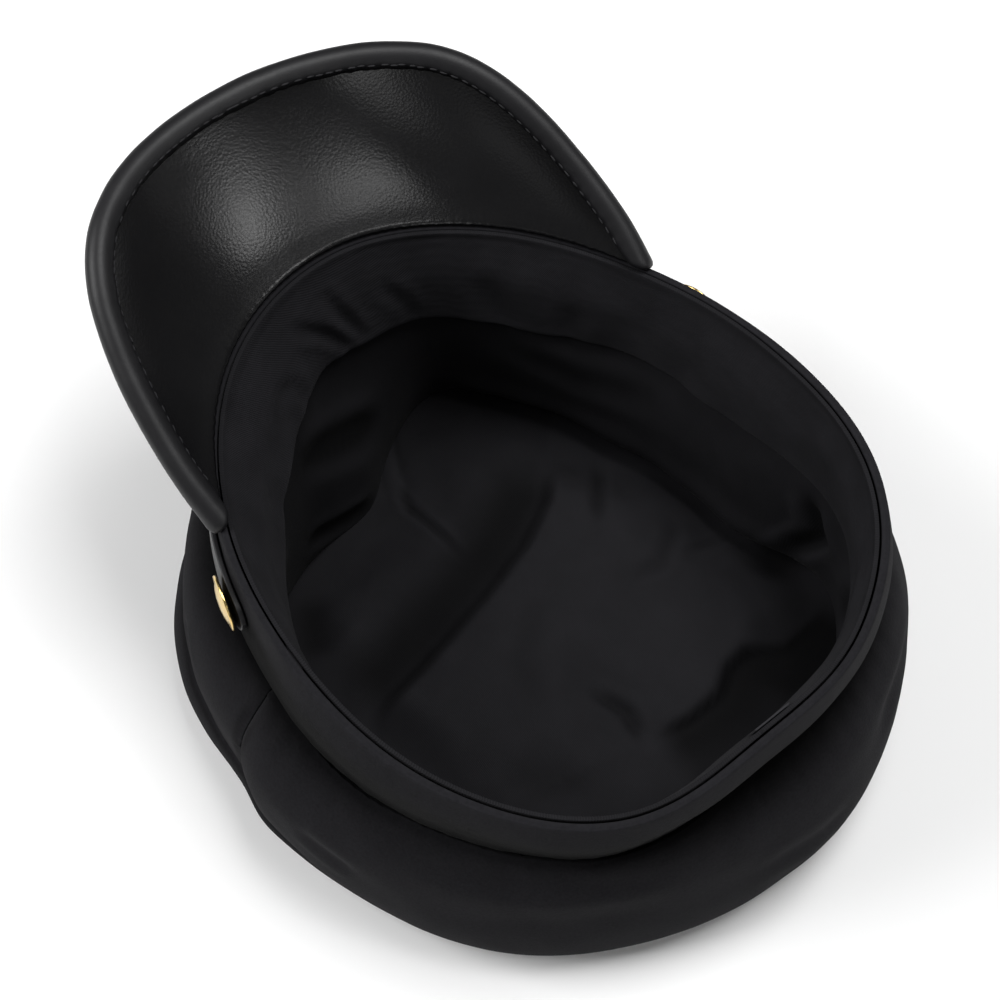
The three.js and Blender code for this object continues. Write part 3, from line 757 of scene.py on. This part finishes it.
def shapeLiningTop():
    piece, hemPoints = refined("lining_top", "liningTop", 3, hem=0.5)
    points = readPoints(piece)
    flat = points[:, :2]
    reach = np.hypot(flat[:, 0] - centre.x / mm, flat[:, 1] - centre.y / mm)
    inside = step(reach, 88, 62)
    amount = np.zeros(len(points))
    shade = np.zeros(len(points))
    for fold in lining["floorSteps"]:
        distance, side, share = alongLine(flat, fold["line"])
        fade = step(share, 0, 0.15) * step(1 - share, 0, 0.15)
        beyond = side * distance
        rise = step(beyond, -2, fold["wide"]) * (1 - step(beyond, fold["wide"], fold["reach"]))
        amount += fold["rise"] * rise * fade
        # Painted shade on the low side of each step, full near it and fading out further on, and fainter
        # over the whole low side.
        low = -beyond
        full, gone = fold["shadeSpan"]
        shade += fold["shade"] * fade * step(low, -fold["wide"], 0.5) * step(low, gone, full)
        shade += fold["beyond"] * step(low, 0, 6)
    pressed = creased(flat, lining["floorFolds"])
    amount -= pressed
    # Painted shade in the pressed folds.
    shade += np.clip(pressed / 3, -0.2, 0.75)
    (ridge, ridgeSize), (fine, fineSize) = lining["crumples"]
    amount += ridge * (1 - np.abs(wander(points * (1, 1, 0), ridgeSize, 8)) * 2)
    amount += fine * wander(points * (1, 1, 0), fineSize, 9)
    points[:, 2] += np.maximum(amount, -lining["deepest"]) * inside
    writePoints(piece, points)
    writeAttribute(piece, "edge", bell(distancesTo(points, hemPoints), 1.0))
    # Painted shade, deepening towards the side wall too.
    writeAttribute(piece, "deep", np.clip(shade + 0.25 * step(reach, 66, 86), 0, 0.9))
    mapOnto(piece, points[:, 0], points[:, 1])
    dress(piece, liningCloth)


shapeLiningSide()
shapeLiningTop()


def shapeTab():
    piece, hemPoints = refined("size_tab", "sizeTab", 2, hem=0.8)
    points = readPoints(piece)
    writeAttribute(piece, "edge", bell(distancesTo(points, hemPoints), 0.6))
    mapOnto(piece, turns(points, rimOval) * sweat["arc"], points[:, 2])
    dress(piece, tabCloth)


shapeTab()

# The visor: smooth leather, slightly uneven, inside a puffed and stitched binding.
visor = {"uneven": 0.35, "unevenSize": 34, "rootReach": 3.5, "sewnIn": 1.6, "sunkIn": 0.6}
binding = {
    "wide": 6.4,
    "puff": 1.3,
    "uneven": 0.12,
    "unevenSize": 9,
    "pucker": 0.5,
    "pitch": 4.6,
    "seam": 5.3,
    "seamDeep": 0.4,
}


def shapeVisor():
    piece, hemPoints = refined("visor", "visorShell", 3, hem=0.8)
    points = readPoints(piece)
    hem = distancesTo(points, hemPoints)
    amount = visor["uneven"] * wander(points, visor["unevenSize"], 11) * step(hem, 0, 12)
    root = bell(distancesTo(points, sampled("band", 3 * mm)), visor["rootReach"])
    inward = -radial(points, rimOval) * visor["sewnIn"] - np.array((0, 0, visor["sunkIn"]))
    points = points + np.array((0, 0.7, 0.7)) * amount[:, None] + inward * root[:, None]
    writePoints(piece, points)
    writeAttribute(piece, "edge", bell(hem, 2) * (1 - root))
    # Painted shade where the visor meets the band.
    writeAttribute(piece, "deep", 0.8 * root)
    dress(piece, visorLeather)
    return piece, hemPoints


def freeEdge():
    # The visor's free edge as one line of points, from its left corner to its right one.
    bm = mergedCopy("visor")
    sharp = [e for e in bm.edges if e.calc_face_angle(0) > math.radians(60)]
    ends = [v.co / mm for e in sharp for v in e.verts]
    bm.free()
    pivot = np.array((centre.x / mm, -30.0))
    bins = {}
    for end in ends:
        away = np.array(end)[:2] - pivot
        turn = round(math.degrees(math.atan2(away[0], -away[1])) / 3)
        if abs(turn) < 37:
            bins.setdefault(turn, []).append((np.hypot(*away), tuple(end)))
    line = []
    for turn in sorted(bins):
        farthest = max(bins[turn])[0]
        outer = [Vector(end) for away, end in bins[turn] if away > farthest - 2]
        line.append(sum(outer, Vector()) / len(outer))
    for _ in range(3):
        middle = [(a + 2 * b + c) / 4 for a, b, c in zip(line, line[1:], line[2:])]
        line = [line[0], *middle, line[-1]]
    return line


visorPiece, visorBorder = shapeVisor()
edgeLine = freeEdge()
print("visor edge", len(edgeLine), "points")


def alongEdge(spacing):
    # Places and directions along the free edge, evenly spaced in millimetres.
    lengths = [(b - a).length for a, b in zip(edgeLine[:-1], edgeLine[1:])]
    reached = np.cumsum([0, *lengths])
    border = indexed(visorBorder)
    places = []
    for way in np.arange(spacing, reached[-1] - spacing, spacing):
        i = int(np.searchsorted(reached, way)) - 1
        share = (way - reached[i]) / lengths[i]
        places.append(border.find(edgeLine[i].lerp(edgeLine[i + 1], share) * mm)[0] / mm)
    for _ in range(3):
        middle = [(a + 2 * b + c) / 4 for a, b, c in zip(places, places[1:], places[2:])]
        places = [places[0], *middle, places[-1]]
    directions = [(after - before).normalized() for before, after in zip(places, places[2:])]
    return list(zip(places[1:-1], directions))


def shapeBinding():
    piece, _ = refined("visor_binding", "visorBinding", 3, hem=0)
    points = readPoints(piece)
    normals = readNormals(piece)
    dense = []
    along = []
    length = 0
    for start, end in zip(edgeLine[:-1], edgeLine[1:]):
        for i in range(12):
            dense.append(start.lerp(end, i / 12))
            along.append(length + (end - start).length * i / 12)
        length += (end - start).length
    index = indexed(dense)
    found = [index.find(Vector(point)) for point in points]
    distance = distancesTo(points, visorBorder)
    way = np.array([along[hit[1]] for hit in found])
    wave = 0.5 + 0.5 * np.cos(2 * math.pi * way / binding["pitch"])
    gathered = 0.55 + 0.45 * wander(np.stack([way, way * 0, way * 0], 1), 17, 13)
    seam = bell(distance - binding["seam"], 0.8)
    pucker = binding["pucker"] * wave * gathered * bell(distance - binding["seam"], 2.2)
    puff = binding["puff"] * step(distance, binding["wide"], 3)
    uneven = binding["uneven"] * wander(points, binding["unevenSize"], 12)
    sunk = binding["seamDeep"] * seam + pucker
    writePoints(piece, points + normals * (puff + uneven - sunk)[:, None])
    writeAttribute(piece, "edge", bell(distance, 1.6))
    # Painted shade in the groove of the stitched seam.
    writeAttribute(piece, "deep", 0.7 * seam)
    dress(piece, bindingLeather)
    return piece


stitches = {
    "spacing": 3.7,
    "length": 2.5,
    "radius": 0.3,
    "in": 5.7,
    "above": 7,  # how far off the leather each stitch starts, before it drops onto it
    "steps": (8, 6),
}


def sewBinding(bindingPiece):
    # A row of stitches on each face of the binding, laid along the visor's edge.
    bm = bmesh.new()
    pivot = Vector((centre.x / mm, -30, 105))
    for place, along in alongEdge(stitches["spacing"]):
        towards = (pivot - place).normalized()
        facing = (visorPiece.closest_point_on_mesh((place + 9 * towards) * mm)[2]).normalized()
        inward = facing.cross(along).normalized()
        if inward.dot(towards) < 0:
            inward = -inward
        for side in (-1, 1):
            above = place + inward * stitches["in"] + facing * side * stitches["above"]
            found, spot, outwards, _ = bindingPiece.closest_point_on_mesh(above * mm)
            if not found:
                continue
            across = outwards.cross(along).normalized()
            turn = Matrix((along, across, outwards)).transposed().to_4x4()
            half, thick = stitches["length"] / 2 * mm, stitches["radius"] * mm
            size = Matrix.Diagonal((half, thick, thick, 1))
            bmesh.ops.create_uvsphere(
                bm,
                u_segments=stitches["steps"][0],
                v_segments=stitches["steps"][1],
                radius=1,
                matrix=Matrix.Translation(spot) @ turn @ size,
            )
    bmesh.ops.recalc_face_normals(bm, faces=bm.faces)
    piece = fromBmesh(bm, "bindingStitches")
    finish(piece)
    dress(piece, sewingThread)


sewBinding(shapeBinding())


def shapeStrap():
    piece, hemPoints = refined("strap", "strapBand", 2, hem=0.6)
    hem = distancesTo(readPoints(piece), hemPoints)
    writeAttribute(piece, "edge", bell(hem, 0.9))
    dress(piece, strapLeather)


shapeStrap()

# The buttons: spun brass, a dome inside a raised rim.
button = {
    "profile": [
        (0, 0),
        (7.6, 0),
        (8.2, 0.12),
        (8.5, 0.45),
        (8.45, 0.8),
        (8.1, 1.05),
        (7.7, 1.1),
        (7.3, 0.95),
        (6.9, 1.0),
        (5.6, 1.5),
        (4.0, 1.9),
        (2.0, 2.13),
        (0, 2.2),
    ],
    "steps": 64,
    "ring": 8.3,  # the CAD button's own border is farther out than this
}


def makeButton(nodeName, name):
    # Its direction is the CAD button's thinnest one, and its foot is under the middle of the ring.
    points = np.array([v.co for v in nodes[nodeName].data.vertices]) / mm
    middle = (points.min(0) + points.max(0)) / 2
    spread = np.linalg.eigh(np.cov((points - points.mean(0)).T))
    axis = spread[1][:, 0]
    if axis[0] * (middle[0] - centre.x / mm) < 0:
        axis = -axis
    heights = points @ axis
    offset = points - middle
    away = np.linalg.norm(offset - np.outer(offset @ axis, axis), axis=1)
    ring = points[away > button["ring"]]
    foot = ring.mean(0) + axis * (heights.min() - ring.mean(0) @ axis)
    bm = bmesh.new()
    verts = [bm.verts.new((out * mm, 0, up * mm)) for out, up in button["profile"]]
    edges = [bm.edges.new(pair) for pair in zip(verts[:-1], verts[1:])]
    bmesh.ops.spin(
        bm,
        geom=verts + edges,
        cent=(0, 0, 0),
        axis=(0, 0, 1),
        angle=2 * math.pi,
        steps=button["steps"],
        use_merge=True,
    )
    bmesh.ops.remove_doubles(bm, verts=bm.verts, dist=0.01 * mm)
    bmesh.ops.recalc_face_normals(bm, faces=bm.faces)
    turn = Vector((0, 0, 1)).rotation_difference(Vector(axis)).to_matrix().to_4x4()
    bmesh.ops.transform(bm, matrix=Matrix.Translation(Vector(foot) * mm) @ turn, verts=bm.verts)
    piece = fromBmesh(bm, name)
    finish(piece)
    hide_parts(nodeName)
    dress(piece, brass)


makeButton("button_right", "buttonRight")
makeButton("button_left", "buttonLeft")

# Floor, light and camera.
camera = {
    "azimuth": 142,
    "elevation": 63,
    "distance": 0.7,
    "height": 0.05,
    "lens": 83.7,
    "shift": (-0.04, 0.0648),
}
lampsAway = 1.5  # metres from the hat to each lamp
lights = [
    {"name": "overhead", "azimuth": -105, "elevation": 71, "size": (0.8, 0.8), "power": 19},
    {"name": "glowRight", "azimuth": -143, "elevation": 34, "size": (0.28, 0.24), "power": 1.35},
    {"name": "glowNear", "azimuth": -171, "elevation": 44, "size": (0.54, 0.17), "power": 1.25},
    {"name": "glowLow", "azimuth": 163, "elevation": 22, "size": (0.4, 0.2), "power": 0.6},
    {"name": "glowLeft", "azimuth": -136, "elevation": 14, "size": (0.4, 0.25), "power": 0.1},
    {"name": "glowFar", "azimuth": 130, "elevation": 24, "size": (0.5, 0.25), "power": 0.13},
    {"name": "leftFill", "azimuth": 55, "elevation": 42, "size": (0.8, 0.8), "power": 18},
]
studioLight = {"above": 0.14, "horizon": 0.07}  # brightness of the grey surroundings


def direction(azimuth, elevation):
    turn, tilt = math.radians(azimuth), math.radians(elevation)
    level = math.cos(tilt)
    return Vector((math.sin(turn) * level, -math.cos(turn) * level, math.sin(tilt)))


def placeOn(item, target, azimuth, elevation, away):
    back = direction(azimuth, elevation)
    item.location = target + back * away
    item.rotation_euler = back.to_track_quat("Z", "Y").to_euler()
    scene.collection.objects.link(item)


def floor():
    bm = bmesh.new()
    bmesh.ops.create_grid(bm, x_segments=8, y_segments=8, size=4)
    piece = fromBmesh(bm, "floor")
    made, nodeTree = tree("material", "paleFloor")
    place = add(nodeTree, "ShaderNodeTexCoord").outputs["Object"]
    clouds = noiseTexture(nodeTree, place, 3.0)
    faint = mixed(nodeTree, clouds, (0.9, 0.9, 0.9, 1), (0.93, 0.93, 0.93, 1))
    body = add(nodeTree, "ShaderNodeBsdfPrincipled", {"Base Color": faint, "Roughness": 0.8})
    out = nodeTree.nodes.new("ShaderNodeOutputMaterial")
    nodeTree.links.new(body.outputs["BSDF"], out.inputs["Surface"])
    piece.data.materials.append(made)


def studio():
    target = Vector((centre.x, centre.y, camera["height"]))
    lens = bpy.data.cameras.new("camera")
    lens.lens = camera["lens"]
    lens.shift_x, lens.shift_y = camera["shift"]
    eye = bpy.data.objects.new("camera", lens)
    placeOn(eye, target, camera["azimuth"], camera["elevation"], camera["distance"])
    scene.camera = eye
    for light in lights:
        lamp = bpy.data.lights.new(light["name"], "AREA")
        lamp.shape = "RECTANGLE"
        lamp.size, lamp.size_y = light["size"]
        lamp.energy = light["power"]
        item = bpy.data.objects.new(light["name"], lamp)
        placeOn(item, target, light["azimuth"], light["elevation"], lampsAway)
    world = bpy.data.worlds.new("studio")
    world.use_nodes = True
    sky = world.node_tree
    looking = add(sky, "ShaderNodeTexCoord").outputs["Generated"]
    height = add(sky, "ShaderNodeSeparateXYZ", {0: looking}).outputs["Z"]
    low = add(sky, "ShaderNodeMapRange", {0: height, 1: 0.1, 2: 0.4, 3: 1.0, 4: 0.0})
    above, horizon = (grey(studioLight[key], 1, 1) for key in ("above", "horizon"))
    shadeOfSky = mixed(sky, low.outputs[0], above, horizon)
    sky.links.new(shadeOfSky, sky.nodes["Background"].inputs["Color"])
    scene.world = world
    scene.view_settings.view_transform = "Standard"


floor()
studio()
print("studio ready")
